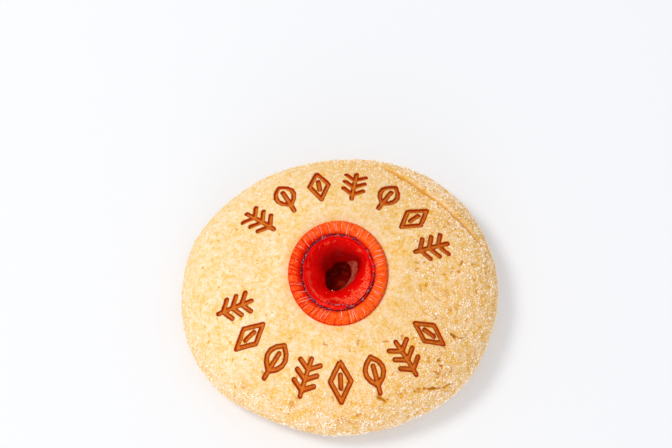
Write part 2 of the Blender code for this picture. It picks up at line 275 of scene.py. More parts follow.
def ornament_strokes():
    """Every stroke on the crust as a list of (x, y) points, each ornament placed a little unevenly."""
    draw = random.Random(11)
    shapes = ornament_shapes()
    strokes = []
    for count, first, last, radius, up in (LOWER_ARC, UPPER_ARC):
        for i in range(count):
            angle = math.radians(first + (last - first) * i / (count - 1))
            turn = math.radians(draw.uniform(-ORNAMENT_TURN, ORNAMENT_TURN))
            size = ORNAMENT_HEIGHT * (1.0 + draw.uniform(-ORNAMENT_SIZE_SPREAD, ORNAMENT_SIZE_SPREAD))
            x, y = math.cos(angle) * radius, math.sin(angle) * radius
            c, s = math.cos(angle + turn) * up, math.sin(angle + turn) * up
            for stroke in shapes[i % len(shapes)]:
                strokes.append([(x + size * (u * s + v * c), y + size * (-u * c + v * s)) for u, v in stroke])
    return strokes


def pleat_creases():
    """Angles of the ring's creases, unevenly spaced, and the first one again a full turn on."""
    draw = random.Random(5)
    width = 2.0 * math.pi / PLEATS
    creases = [(i + draw.uniform(-PLEAT_UNEVENNESS, PLEAT_UNEVENNESS)) * width for i in range(PLEATS)]
    return creases + [creases[0] + 2.0 * math.pi]


# Tools for making meshes


def field(points, scale, seed):
    """Smooth noise from about -1 to 1 at each point, whose lumps are about scale across."""
    shift = np.array([seed * 7.31, seed * 3.77, seed * 1.93])
    places = (points / scale + shift).reshape(-1, 3)
    return np.array([noise.noise(Vector(place)) for place in places]).reshape(points.shape[:-1])


def cell_edges(points, scale, seed):
    """Distance to the walls of a random cell pattern, as a share of the cells' size."""
    shift = np.array([seed * 5.17, seed * 2.39, seed * 8.71])
    places = (points / scale + shift).reshape(-1, 3)
    found = [noise.voronoi(Vector(place))[0] for place in places]
    return np.array([distances[1] - distances[0] for distances in found]).reshape(points.shape[:-1])


def line_distance(x, y, line):
    """Distance from each point to a broken line."""
    nearest = np.full(x.shape, 1.0)
    for (ax, ay), (bx, by) in zip(line, line[1:]):
        length = max(math.hypot(bx - ax, by - ay), 1e-9)
        share = np.clip(((x - ax) * (bx - ax) + (y - ay) * (by - ay)) / length**2, 0.0, 1.0)
        gap = np.hypot(x - ax - share * (bx - ax), y - ay - share * (by - ay))
        nearest = np.minimum(nearest, gap)
    return nearest


def grid_faces(rows, columns, closed_rows=False):
    """Quads of a grid whose columns go round, and whose rows do too if closed_rows."""
    row = np.arange(rows if closed_rows else rows - 1)[:, None]
    column = np.arange(columns)[None, :]
    after = (column + 1) % columns
    below = (row + 1) % rows
    quads = [row * columns + column, below * columns + column, below * columns + after, row * columns + after]
    return np.stack(np.broadcast_arrays(*quads), axis=-1).reshape(-1, 4)


def closed_faces(rows, columns):
    """Quads of a grid whose columns go round, and triangles that close its ends on two more points."""
    faces = grid_faces(rows, columns).tolist()
    last = (rows - 1) * columns
    for i in range(columns):
        after = (i + 1) % columns
        faces.append([rows * columns, i, after])
        faces.append([last + i, rows * columns + 1, last + after])
    return faces


def grid_normals(grid):
    """Outward unit normals of a grid of points, rows down the outside and columns anticlockwise."""
    down = np.gradient(grid, axis=0)
    across = np.roll(grid, -1, axis=1) - np.roll(grid, 1, axis=1)
    normal = np.cross(down, across)
    return normal / np.maximum(np.linalg.norm(normal, axis=2, keepdims=True), 1e-12)


def new_piece(name, points, faces, slot, material, replaced=None, smooth=True, **values):
    """A mesh piece that rides on the object's body, with the given material; the slot is not used. It may
    replace a node of the solids. Each of the values is kept at the vertices, for the material to read."""
    mesh = bpy.data.meshes.new(name)
    mesh.from_pydata(points.tolist(), [], faces if isinstance(faces, list) else faces.tolist())
    mesh.materials.append(material)
    if smooth:
        mesh.shade_smooth()
    mesh.update()
    for key, numbers in values.items():
        layer = mesh.attributes.new(key, "FLOAT", "POINT")
        layer.data.foreach_set("value", np.ascontiguousarray(numbers, np.float32))
    piece = bpy.data.objects.new(name, mesh)
    bpy.context.scene.collection.objects.link(piece)
    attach(piece, "root")
    if replaced:
        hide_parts(replaced)
    return piece


def turned_points(rho, z, angle):
    """Points of turned rings: a row for each (rho, z), a column for each angle."""
    rho = np.asarray(rho)[:, None]
    across = rho * plan_factor(rho, angle[None, :])
    z = np.broadcast_to(np.asarray(z)[:, None], across.shape)
    return np.stack([across * np.cos(angle) + AXIS_X, across * np.sin(angle) + AXIS_Y, z], axis=-1)


def axis_point(across, angle, z):
    """The point this far from the jelly's axis."""
    return across * math.cos(angle) + AXIS_X, across * math.sin(angle) + AXIS_Y, z


def tubes(lines, radii, sides):
    """Points and faces of closed tubes along lines of points, with a radius at each point."""
    points, faces = [], []
    for line, widths in zip(lines, radii):
        line = np.asarray(line)
        along = np.gradient(line, axis=0)
        along /= np.linalg.norm(along, axis=1, keepdims=True)
        side = np.cross(along, (0.0, 0.0, 1.0))
        side /= np.maximum(np.linalg.norm(side, axis=1, keepdims=True), 1e-9)
        up = np.cross(side, along)
        first = len(points)
        for centre, s, u, width in zip(line, side, up, widths):
            for k in range(sides):
                turn = 2.0 * math.pi * k / sides
                points.append(centre + width * (math.cos(turn) * s + math.sin(turn) * u))
        count = len(line)
        for i in range(count - 1):
            for k in range(sides):
                a = first + i * sides + k
                b = first + i * sides + (k + 1) % sides
                faces.append([a, b, b + sides, a + sides])
        faces.append([first + k for k in reversed(range(sides))])
        faces.append([first + (count - 1) * sides + k for k in range(sides)])
    return np.array(points), faces


# Node materials


class Shader:
    """A material's node tree, with short ways to add nodes."""

    def __init__(self, name):
        self.material = bpy.data.materials.new(name)
        self.material.use_nodes = True
        self.tree = self.material.node_tree

    def put(self, node, inputs):
        """Links each of a node's inputs to a socket, or sets it to a number or a colour."""
        for key, value in inputs.items():
            if isinstance(value, bpy.types.NodeSocket):
                self.tree.links.new(value, node.inputs[key])
            else:
                node.inputs[key].default_value = (*value, 1.0) if isinstance(value, tuple) else value

    def add(self, kind, inputs, output, **settings):
        """Adds a node and returns one of its outputs."""
        node = self.tree.nodes.new(kind)
        for key, value in settings.items():
            setattr(node, key, value)
        self.put(node, inputs)
        return node.outputs[output]

    def value(self, name):
        """A number kept at the vertices."""
        return self.add("ShaderNodeAttribute", {}, "Fac", attribute_name=name)

    def place(self):
        """The place on the piece, in metres."""
        return self.add("ShaderNodeTexCoord", {}, "Object")

    def noise(self, size, detail=3.0, roughness=0.55):
        """Noise whose lumps are about size across, from 0 to 1."""
        inputs = {"Vector": self.place(), "Scale": 1.0 / size, "Detail": detail, "Roughness": roughness}
        return self.add("ShaderNodeTexNoise", inputs, "Fac")

    def cells(self, size, output="Distance"):
        """The distance to the middle of each cell of about this size, or another output of the pattern."""
        return self.add("ShaderNodeTexVoronoi", {"Vector": self.place(), "Scale": 1.0 / size}, output)

    def grain(self, size):
        """A random value from 0 to 1 in each cell of about this size."""
        return self.add("ShaderNodeSeparateColor", {"Color": self.cells(size, "Color")}, "Red")

    def maths(self, operation, a, b, clamp=False):
        return self.add("ShaderNodeMath", {0: a, 1: b}, 0, operation=operation, use_clamp=clamp)

    def between(self, value, low, high, to_low=0.0, to_high=1.0):
        """A smooth step of value from low to high."""
        inputs = {"Value": value, "From Min": low, "From Max": high, "To Min": to_low, "To Max": to_high}
        return self.add("ShaderNodeMapRange", inputs, "Result", interpolation_type="SMOOTHSTEP")

    def patches(self, size, detail, low, high, to_low=0.0, to_high=1.0):
        """Noise made into patches by a smooth step."""
        return self.between(self.noise(size, detail), low, high, to_low, to_high)

    def mix(self, share, a, b):
        """Colour a where share is 0, b where it is 1."""
        return self.add("ShaderNodeMix", {0: share, 6: a, 7: b}, 2, data_type="RGBA")

    def coats(self, colour, *coats):
        """A colour with others laid over it in turn, each as far as its share says."""
        for share, coat in coats:
            colour = self.mix(share, colour, coat)
        return colour

    def bump(self, height, distance, strength, **before):
        """A normal bent by a height, on top of the bump before it if there is one."""
        inputs = {"Height": height, "Distance": distance, "Strength": strength, **before}
        return self.add("ShaderNodeBump", inputs, "Normal")

    def finish(self, colour, roughness, gloss, **others):
        """The material, with its surface's inputs set."""
        surface = self.tree.nodes["Principled BSDF"]
        inputs = {"Base Color": colour, "Roughness": roughness, "Specular IOR Level": gloss, **others}
        self.put(surface, inputs)
        return self.material


PALE_CREAM = (0.888, 0.748, 0.535)
PALE_YELLOW = (0.835, 0.525, 0.125)
GOLD_CREAM = (0.90, 0.64, 0.38)
GOLD_DEEP = (0.82, 0.43, 0.030)
PORE_GOLD = (0.83, 0.41, 0.035)
CRACK_GOLD = (0.64, 0.21, 0.002)
CRACK_DARK = (0.44, 0.14, 0.002)
FOLD_GOLD = (0.84, 0.46, 0.085)
JELLY_BOUNCE_LIGHT = (0.86, 0.20, 0.035)
BAKED_BASE = (0.70, 0.33, 0.07)
STROKE_EDGE_SHADE = (0.36, 0.013, 0.0003)
STROKE_MIDDLE = (0.51, 0.072, 0.001)
STROKE_CENTRE_HIGHLIGHT = (0.66, 0.20, 0.026)
SUGAR_GOLD = (0.80, 0.515, 0.175)
SUGAR_CREAM = (0.81, 0.615, 0.40)
SUGAR_PALE = (0.835, 0.745, 0.63)
SUGAR_WHITE = (0.89, 0.865, 0.82)
SUGAR_SELF_LIGHT = 0.26
BAND_RED = (0.93, 0.062, 0.0015)
BAND_ORANGE = (0.96, 0.120, 0.004)
BAND_STREAK = (0.84, 0.020, 0.0005)
BAND_GRAIN = (0.98, 0.18, 0.035)
BAND_SHADE = (0.76, 0.008, 0.001)
BAND_CREASE = (0.66, 0.008, 0.0004)
EDGE_ROSE = (0.80, 0.29, 0.19)
EDGE_PALE = (0.89, 0.60, 0.50)
SEAM_BLACK = (0.014, 0.010, 0.050)
SEAM_MAROON = (0.170, 0.006, 0.014)
SEAM_HIGHLIGHT_GREY = (0.44, 0.26, 0.31)
SEAM_RED = (0.74, 0.0075, 0.003)
BOWL_DEEP = (0.72, 0.0004, 0.0004)
BOWL_RED = (0.88, 0.002, 0.001)
BOWL_SPECK = (0.92, 0.016, 0.009)
BOWL_FAR_SHADE = (0.24, 0.0005, 0.0004)
SHEEN_RED = (0.82, 0.006, 0.001)
SHEEN_PINK = (0.90, 0.150, 0.062)
HOLE_SHADE_MAROON = (0.15, 0.0008, 0.0005)
HOLE_BROWN = (0.26, 0.012, 0.004)
REFLECTION_DARK = (0.27, 0.026, 0.012)
REFLECTION_PALE = (0.38, 0.075, 0.045)
ROLL_DEEP = (0.76, 0.004, 0.001)
ROLL_RED = (0.88, 0.014, 0.003)
GLINT_ORANGE = (0.90, 0.25, 0.16)
GLINT_PALE = (0.98, 0.62, 0.40)


def crust_material():
    """Sugared dough: grains of cream and gold, browner in cracks and on the base, caramel in the strokes with
    painted shade at their edges and a painted highlight along their middles, and painted red bounce light
    beside the ring.
    """
    shade = Shader("crust")
    crack = shade.value("crack")
    mottle = shade.noise(0.0012, 3.0, 0.6)
    grain = shade.grain(0.00034)
    lively = shade.between(shade.value("coarse"), 0.0, 0.8, 0.50, 0.85)
    lean = shade.maths("MULTIPLY", shade.maths("SUBTRACT", grain, 0.5), lively)
    lean = shade.maths("ADD", lean, shade.between(mottle, 0.32, 0.68, 0.22, 0.84), clamp=True)
    lean = shade.maths("ADD", lean, shade.patches(0.0030, 2.0, 0.35, 0.65, -0.13, 0.13), clamp=True)
    pale = shade.mix(lean, PALE_YELLOW, PALE_CREAM)
    deep = shade.mix(lean, GOLD_DEEP, GOLD_CREAM)
    blotch = shade.patches(0.0065, 2.0, 0.3, 0.7, -0.14, 0.14)
    gold = shade.maths("ADD", shade.value("gold"), blotch, clamp=True)
    pores = shade.between(shade.cells(0.0021), 0.09, 0.20, 0.7, 0.0)
    pores = shade.maths("MULTIPLY", pores, shade.patches(0.0045, 1.0, 0.52, 0.60))
    pores = shade.maths("MAXIMUM", shade.between(shade.value("pit"), 0.12, 0.60), pores)
    inside = shade.maths("SUBTRACT", shade.maths("MULTIPLY", shade.noise(0.0007, 2.0), 0.16), 0.08)
    inside = shade.maths("SUBTRACT", inside, shade.value("stroke"))
    # Painted shade and highlight: the caramel is darkest at the strokes' edges and palest along their
    # middles, partly the caramel's own tone and partly painted light.
    middle = shade.between(inside, 0.09, 0.27)
    centre = shade.between(inside, 0.26, 0.44)
    centre = shade.maths("MULTIPLY", centre, shade.between(grain, 0.1, 0.8, 0.30, 1.0))
    brown = shade.coats(STROKE_EDGE_SHADE, (middle, STROKE_MIDDLE), (centre, STROKE_CENTRE_HIGHLIGHT))
    colour = shade.coats(
        shade.mix(gold, pale, deep),
        (pores, PORE_GOLD),
        (shade.value("fold"), FOLD_GOLD),
        (crack, CRACK_GOLD),
        (shade.between(crack, 0.86, 1.0), CRACK_DARK),
        # painted red bounce light from the jelly, on the crust beside the ring
        (shade.value("glow"), JELLY_BOUNCE_LIGHT),
        (shade.value("under"), BAKED_BASE),
        (shade.between(inside, -0.16, 0.0, 0.0, 0.45), CRACK_GOLD),
        (shade.between(inside, -0.03, 0.05), brown),
    )
    normal = shade.bump(mottle, 0.00008, 0.5, Normal=shade.bump(grain, 0.00003, 0.4))
    return shade.finish(colour, shade.between(inside, 0.0, 0.1, 0.85, 0.60), 0.03, Normal=normal)


def sugar_material():
    """Sugar crystals: creamy where the dough shows through them, and some clear white. They glow faintly in
    their own colour, painted light that lifts their shaded sides.
    """
    shade = Shader("sugar")
    tint = shade.value("tint")
    colour = shade.coats(
        SUGAR_GOLD,
        (shade.between(tint, 0.0, 0.55), SUGAR_CREAM),
        (shade.between(tint, 0.72, 0.92), SUGAR_PALE),
        (shade.between(tint, 1.06, 1.14), SUGAR_WHITE),
    )
    rough = shade.patches(0.0004, 1.0, 0.3, 0.7, 0.35, 0.60)
    # Painted light: the crystals glow in their own colour so that their shaded sides stay light.
    glow = {"Emission Color": colour, "Emission Strength": SUGAR_SELF_LIGHT}
    return shade.finish(colour, rough, 0.06, **glow)


def band_material():
    """The ring's jelly: orange-red, deeper in the creases, with painted shade at the foot and towards the
    seam.
    """
    shade = Shader("jelly_band")
    tone = shade.noise(0.0013)
    colour = shade.coats(
        BAND_RED,
        (shade.between(tone, 0.3, 0.7), BAND_ORANGE),
        (shade.value("streak"), BAND_STREAK),
        (shade.between(shade.grain(0.00030), 0.2, 1.0, 0.0, 0.65), BAND_GRAIN),
        # painted shade at the band's foot and towards the seam
        (shade.value("inner"), BAND_SHADE),
        (shade.value("crease"), BAND_CREASE),
    )
    normal = shade.bump(shade.noise(0.0005), 0.00006, 0.4)
    return shade.finish(colour, shade.between(tone, 0.3, 0.7, 0.45, 0.60), 0.02, Normal=normal)


def thread_material():
    """The pale dry edges that stand along some of the creases."""
    shade = Shader("pale_edges")
    colour = shade.mix(shade.patches(0.0008, 2.0, 0.3, 0.7), EDGE_ROSE, EDGE_PALE)
    return shade.finish(colour, 0.5, 0.2)


def seam_material():
    """The seam: blue-black and maroon stitches with painted grey highlights in patches, over a red cord."""
    shade = Shader("seam")
    tint = shade.value("tint")
    # Painted highlight: the patches called worn lay grey highlights on the stitches.
    worn = shade.patches(0.00045, 1.0, 0.47, 0.58)
    colour = shade.coats(
        SEAM_BLACK,
        (shade.between(tint, 0.0, 0.6), SEAM_MAROON),
        (shade.maths("MULTIPLY", worn, shade.between(tint, 0.1, 0.7, 0.3, 1.0)), SEAM_HIGHLIGHT_GREY),
        (shade.between(tint, 0.85, 0.95), SEAM_RED),
    )
    return shade.finish(colour, shade.patches(0.0006, 2.0, 0.3, 0.7, 0.3, 0.5), 0.06)


def bowl_material():
    """The bowl's jelly: deep wet red with a painted pink sheen in patches, painted shade on the far wall, a
    painted reflection on the ledge and painted shade making it nearly black below the throat.
    """
    shade = Shader("jelly_bowl")
    speck = shade.grain(0.00025)
    colour = shade.coats(
        BOWL_DEEP,
        (shade.patches(0.0022, 3.0, 0.3, 0.7), BOWL_RED),
        (shade.between(speck, 0.5, 1.0, 0.0, 0.35), BOWL_SPECK),
        # painted shade on the far wall
        (shade.value("thick"), BOWL_FAR_SHADE),
        # painted pink sheen
        (shade.value("painted_sheen"), shade.mix(shade.between(speck, 0.15, 0.95), SHEEN_RED, SHEEN_PINK)),
        # painted shade, nearly black, in the hole
        (shade.value("deep"), HOLE_SHADE_MAROON),
        # painted reflection on the ledge
        (shade.value("ledge"), shade.mix(shade.patches(0.0009, 2.0, 0.35, 0.65), REFLECTION_DARK, REFLECTION_PALE)),
    )
    normal = shade.bump(shade.noise(0.0011), 0.00010, 0.35)
    return shade.finish(colour, shade.patches(0.0016, 3.0, 0.35, 0.7, 0.20, 0.40), 0.02, Normal=normal)


def hole_material():
    """The inside of the hollow: jelly painted dark maroon for the shade in it, a little browner in places."""
    shade = Shader("jelly_hole")
    colour = shade.mix(shade.patches(0.0016, 2.0, 0.45, 0.68), HOLE_SHADE_MAROON, HOLE_BROWN)
    return shade.finish(colour, 0.6, 0.0, Normal=shade.bump(shade.noise(0.0008, 2.0), 0.00008, 0.4))


# The crust


def crust_profile():
    """Rings of (rho, z, part) from the recess's floor, over the dome, down the side and in along the base."""
    seat = RING_CENTRE_Z - RING_HEIGHT / 2 - GAP
    well = THROAT_RADIUS + BOWL_WALL + GAP
    bottom = HOLLOW_FLOOR - BOWL_WALL - GAP
    wall = RING_OUTER - 0.0003
    lip = RING_OUTER - 0.00006
    top = dome_height(lip) - LIP_DIP
    recess = (
        (well * 0.5, bottom),
        (well - 0.0009, bottom),
        (well, HOLLOW_FLOOR - GAP),
        (well, THROAT_Z - 0.0012),
        (well + 0.0009, seat - 0.0004),
        (well + 0.0017, seat),
        (RING_OUTER - 0.0008, seat),
        (wall, seat + 0.0004),
        (wall, top - 0.0003),
    )
    rings = [(rho, z, RECESS) for rho, z in recess]
    for turn in (15, 40, 65):
        bend = math.radians(turn)
        z = top - LIP_ROUND * (1 - math.sin(bend)) - 0.00002
        rings.append((lip + LIP_ROUND * (1 - math.cos(bend)), z, DOME))
    # The rings of the dome are closest together where the ornaments lie
    radii = []
    for start, end, count in ((lip + 0.0002, 0.0178, 16), (0.0178, 0.0302, 58), (0.0302, SHOULDER, 15)):
        radii += [start + (end - start) * i / count for i in range(count)]
    rise = math.asin((SHOULDER / RIM_RADIUS) ** (DOME_POWER / 2.0))
    for i in range(24):
        turn = rise + (math.pi / 2 - rise) * i / 24
        radii.append(RIM_RADIUS * math.sin(turn) ** (2.0 / DOME_POWER))
    for rho in radii:
        z = float(dome_height(rho) - LIP_DIP * fall(RING_OUTER, RING_OUTER + 0.0020, rho))
        rings.append((rho, z, DOME))
    for i in range(16):
        turn = math.radians(90) * i / 15
        rho = RIM_RADIUS * (BASE_SHARE + (1.0 - BASE_SHARE) * math.cos(turn))
        rings.append((rho, BELLY_HEIGHT * (1.0 - math.sin(turn)), SIDE))
    rings += [(RIM_RADIUS * BASE_SHARE * share, 0.0, BASE) for share in (0.985, 0.95, 0.88, 0.72, 0.5, 0.25)]
    return rings


def reach_of(x, y):
    """How far out a point is, from 0 at the jelly's axis to 1 at the rim."""
    return np.hypot(x / RIM_RADIUS, y / (RIM_RADIUS * DEPTH / WIDTH))


def coarseness(x, y, z):
    """How rough and sugary the crust is: little on the left and in the middle, most at the right and low."""
    angle = np.arctan2(y, x)
    toward = np.cos(angle + math.radians(20))
    near = ramp(-0.2, 0.7, -np.sin(angle)) * fall(0.008, 0.015, z)
    side = np.maximum(fall(0.002, 0.009, z), near)
    return np.clip(ramp(0.30, 1.02, reach_of(x, y) + 0.28 * toward - 0.14) + 0.55 * side, 0.0, 1.0)


def whiteness(x, y, z):
    """How much of the sugar is clear white: more along the near rim, outside the fold and down the side."""
    angle = np.arctan2(y, x)
    near = ramp(0.1, 0.8, -np.sin(angle)) * fall(0.009, 0.0145, z)
    near = near * (0.45 + 0.55 * ramp(-0.6, 0.2, np.cos(angle)))
    far = ramp(0.2, 0.8, np.sin(angle + math.radians(20))) * fall(0.012, 0.017, z)
    return np.maximum(np.maximum(near, 0.7 * far), 0.6 * fall(0.003, 0.009, z))


def goldenness(x, y, z):
    """How deeply baked the crust looks: pale on the left, golden at the right, the rims and the side."""
    reach = reach_of(x, y)
    angle = np.arctan2(y, x)
    rim = 0.45 * reach**2 * ramp(-0.8, 0.0, np.cos(angle))
    side = 0.4 * fall(0.001, 0.010, z) + 0.5 * fall(0.001, 0.006, z)
    near = 0.16 * ramp(0.6, 1.0, -np.sin(angle)) * ramp(0.60, 0.80, reach) * fall(0.90, 0.97, reach)
    return np.clip(0.44 + 0.56 * reach * np.cos(angle + math.radians(5)) + rim + side + near, 0.0, 1.0)


def stroke_distance(x, y):
    """Distance in millimetres out of the nearest stroke's edge, negative inside it."""
    nearest = np.full(x.shape, 0.004)
    for stroke in ornament_strokes():
        nearest = np.minimum(nearest, line_distance(x, y, stroke))
    return (nearest - STROKE_RADIUS) / MM


def fold_groove(x, y):
    """Depth share of the fold's groove, 1 along its middle."""
    outwards, along = fold_place(x, y)
    ends = ramp(-0.02, 0.22, along) * fall(0.95, 1.06, along)
    return ends * np.exp(-((outwards / FOLD_WIDTH) ** 2))


def fold_bare(x, y):
    """Where the smooth golden dough shows just outside the fold: a broad strip that narrows along it."""
    outwards, along = fold_place(x, y)
    ends = ramp(-0.02, 0.10, along) * fall(0.90, 1.03, along)
    broad = 0.00074 - 0.00054 * ramp(0.28, 0.55, along)
    return ends * ramp(-0.00022, 0.00005, outwards) * fall(broad * 0.6, broad * 1.3, outwards)


def small_cracks():
    """Short crooked crevices and their widths, thickest on the near side and at the right."""
    draw = random.Random(31)
    lines = []
    for _ in range(SMALL_CRACKS):
        angle = math.radians(draw.uniform(-125, 30))
        reach = RIM_RADIUS * draw.uniform(0.48, 0.94)
        x, y = reach * math.cos(angle), reach * math.sin(angle) * DEPTH / WIDTH
        heading = draw.uniform(0.0, math.pi)
        line = [(x, y)]
        for _ in range(draw.choice((1, 1, 2, 3))):
            heading += draw.uniform(-1.3, 1.3)
            step = draw.uniform(0.00025, 0.00060)
            x, y = x + step * math.cos(heading), y + step * math.sin(heading)
            line.append((x, y))
        lines.append((line, draw.uniform(0.00014, 0.00028)))
    return lines


def crack_shares(x, y, breaks):
    """Depth and colour shares of the cracks and crevices, 1 along their middles, interrupted by a noise."""
    whole = ramp(-0.52, -0.14, breaks)
    deep = np.zeros(x.shape)
    stain = np.zeros(x.shape)
    for line in CRACKS:
        (ax, ay), (bx, by) = line[0], line[-1]
        along = np.hypot(x - ax, y - ay) / math.hypot(bx - ax, by - ay)
        gap = line_distance(x, y, line) / (CRACK_WIDTH * (1.35 - 0.80 * ramp(0.15, 0.75, along)))
        deep = np.maximum(deep, whole * np.exp(-(gap**2)))
        stain = np.maximum(stain, whole * fall(0.6, 1.3, gap))
    for line, width in small_cracks():
        near = np.hypot(x - line[0][0], y - line[0][1]) < 0.004
        gap = line_distance(x[near], y[near], line) / width
        deep[near] = np.maximum(deep[near], 0.4 * np.exp(-(gap**2)))
        stain[near] = np.maximum(stain[near], 0.85 * fall(0.4, 1.2, gap))
    return deep, stain


def pits(x, y):
    """Depth share of the small round holes left by bubbles."""
    draw = random.Random(23)
    share = np.zeros(x.shape)
    for _ in range(PITS):
        reach = 0.0130 + 0.0230 * math.sqrt(draw.random())
        angle = draw.uniform(0.0, 2.0 * math.pi)
        px, py = reach * math.cos(angle), reach * math.sin(angle) * 0.93
        width = draw.uniform(0.00017, 0.00038)
        share = np.maximum(share, np.exp(-(((x - px) ** 2 + (y - py) ** 2) / width**2)))
    return share


def crackle_share(even, wobble, breaks, coarse):
    """Depth share of the fine crackle, in patches where the crust is coarse."""
    crackle = fall(0.02, 0.17, cell_edges(even + 0.4 * wobble[..., None], 0.0027, 3))
    patches = ramp(-0.02, 0.25, field(even, 0.0040, 4)) * ramp(0.40, 0.80, coarse)
    return crackle * (patches * ramp(-0.15, 0.15, breaks))


def wrinkle_share(even):
    """Depth share of the level wrinkles low on the side."""
    level = even[..., 2]
    wrinkle = ramp(0.2, 1.0, np.sin(level / 0.00042 + 2.5 * field(even, 0.009, 6)))
    wrinkle = wrinkle * ramp(0.0008, 0.0018, level) * fall(0.0040, 0.0062, level)
    return wrinkle * ramp(-0.1, 0.3, field(even, 0.0060, 7))


def make_crust():
    """The dough as one closed mesh. It returns what the sugar needs to lie on it."""
    rho, z, part = [np.array(column) for column in zip(*crust_profile())]
    angle = np.arange(CRUST_COLUMNS) * 2.0 * math.pi / CRUST_COLUMNS
    even = turned_points(rho, z, angle)
    x, y, level = even[..., 0] - AXIS_X, even[..., 1] - AXIS_Y, even[..., 2]
    rho, part = rho[:, None], part[:, None]
    on_dome, on_base, shown = part == DOME, part == BASE, part != RECESS
    level += np.where(on_dome, unevenness(rho, x, y), 0.0)
    normal = grid_normals(even)
    coarse = np.where(shown, coarseness(x, y, level), 0.0)
    wobble = 0.00024 * field(even, 0.0012, 9)
    jag = 0.00020 * field(even, 0.00050, 10)
    breaks = field(even, 0.0010, 12)
    stroke = np.where(on_dome, stroke_distance(x, y), 3.0)
    crooked = (x + wobble + jag, y - wobble + jag)
    crack, stain = [np.where(on_dome, share, 0.0) for share in crack_shares(*crooked, breaks)]
    pit = np.where(on_dome, pits(x + 0.6 * jag, y - 0.6 * jag), 0.0)
    fold = np.where(on_dome, fold_groove(x + 0.5 * wobble, y + 0.5 * wobble), 0.0)
    bare = np.where(on_dome, fold_bare(x + 1.5 * wobble + jag, y + 1.5 * wobble + jag), 0.0)
    crease = np.where(on_dome, line_distance(*crooked, CREASE) / CREASE_WIDTH, 9.0)
    bare = np.maximum(bare, 1.3 * fall(0.3, 1.5, crease))
    crackle = np.where(shown, crackle_share(even, wobble, breaks, coarse), 0.0)
    wrinkle = np.where(part == SIDE, wrinkle_share(even), 0.0)
    lumps = (0.00005 + 0.00001 * coarse) * field(even, 0.0013, 2)
    grit = (0.00001 + 0.00002 * coarse) * field(even, 0.0006, 5)
    relief = 0.00008 * field(even, 0.0032, 1) + lumps + grit
    relief = relief - STROKE_DEPTH * fall(-0.26, 0.05, stroke)
    relief = relief + STROKE_CROWN * fall(-0.56, -0.40, stroke)
    relief = relief + STROKE_LIP * np.exp(-((stroke - 0.18) / 0.14) ** 2)
    relief = relief - CRACK_DEPTH * crack - PIT_DEPTH * pit - FOLD_DEPTH * fold - CRACKLE_DEPTH * crackle
    relief = relief - WRINKLE_DEPTH * wrinkle - CREASE_DEPTH * np.exp(-(crease**2))
    relief = relief - RIM_DRAWN_IN * ramp(0.75, 1.0, rho / RIM_RADIUS)
    relief = relief * ramp(RING_OUTER + 0.0005, RING_OUTER + 0.0016, rho)
    grid = even + normal * np.where(shown & ~on_base, relief, 0.0)[..., None]
    grid[..., 2] = np.maximum(grid[..., 2], 0.0)
    poles = [[AXIS_X, AXIS_Y, HOLLOW_FLOOR - BOWL_WALL - GAP], [AXIS_X, AXIS_Y, 0.0]]
    points = np.concatenate([grid.reshape(-1, 3), poles])
    low = np.where(part >= SIDE, fall(0.0002, 0.0014, level), 0.0)
    low = np.maximum(low, 0.42 * np.where(shown, fall(0.0010, 0.0065, level), 0.0))
    dark = np.maximum(np.maximum(stain, 0.68 * fold), np.maximum(0.55 * crackle, 0.8 * wrinkle))
    # Painted light: the crust right at the ring's edge, and more faintly further out on the upper left, is
    # tinted red as if lit by light thrown back from the jelly; this also hides the shade in the gap under the
    # ring's edge.
    glow = 0.85 * fall(RING_OUTER + 0.00002, RING_OUTER + 0.00015, rho)
    painted_bounce = 0.13 * fall(RING_OUTER + 0.0003, RING_OUTER + 0.0030, rho)
    painted_bounce = painted_bounce * (0.5 + 0.5 * np.cos(angle - math.radians(145)))[None, :]
    values = {
        "stroke": (stroke, 3.0),
        "coarse": (coarse, 0.0),
        "gold": (goldenness(x, y, level), 1.0),
        "crack": (np.clip(dark, 0.0, 1.0), 0.0),
        "pit": (pit, 0.0),
        "fold": (0.7 * bare, 0.0),
        "glow": (np.maximum(glow, painted_bounce), 1.0),
        "under": (low * 0.9, 0.9),
    }
    values = {name: np.append(value, [at_poles, at_poles]) for name, (value, at_poles) in values.items()}
    faces = closed_faces(len(rho), CRUST_COLUMNS)
    new_piece("crust", points, faces, "crust", crust_material(), "biscuit", **values)
    clear = ramp(0.10, 0.45, stroke) * ramp(RING_OUTER + 0.0006, RING_OUTER + 0.0016, rho)
    clear = clear * np.clip(1.0 - 0.9 * bare, 0.0, 1.0) * fall(0.05, 0.5, np.maximum(stain, fold))
    clear = np.where(shown & ~on_base, clear * ramp(0.0006, 0.0016, level), 0.0)
    cluster = 0.25 + 1.2 * ramp(-0.25, 0.45, field(even, 0.0020, 21))
    white = whiteness(x, y, level)
    return {"grid": grid, "coarse": coarse, "clear": clear, "cluster": cluster, "white": white}


# Sugar

CUBE = np.array([(x, y, z) for x in (-1, 1) for y in (-1, 1) for z in (-1, 1)], float)
CUBE_FACES = np.array([(0, 1, 3, 2), (4, 6, 7, 5), (0, 4, 5, 1), (2, 3, 7, 6), (0, 2, 6, 4), (1, 5, 7, 3)])
STONE = np.array([(1, 0, 0), (-1, 0, 0), (0, 1, 0), (0, -1, 0), (0, 0, 1), (0, 0, -1)], float)
STONE_FACES = np.array(
    [(0, 2, 4), (2, 1, 4), (1, 3, 4), (3, 0, 4), (2, 0, 5), (1, 2, 5), (3, 1, 5), (0, 3, 5)]
)


def random_turns(draw, count):
    """Rotation matrices with no favoured direction."""
    q = draw.normal(size=(count, 4))
    q /= np.linalg.norm(q, axis=1, keepdims=True)
    w, x, y, z = q.T
    rows = [
        [1 - 2 * (y * y + z * z), 2 * (x * y - w * z), 2 * (x * z + w * y)],
        [2 * (x * y + w * z), 1 - 2 * (x * x + z * z), 2 * (y * z - w * x)],
        [2 * (x * z - w * y), 2 * (y * z + w * x), 1 - 2 * (x * x + y * y)],
    ]
    return np.array([[np.array(value) for value in row] for row in rows]).transpose(2, 0, 1)


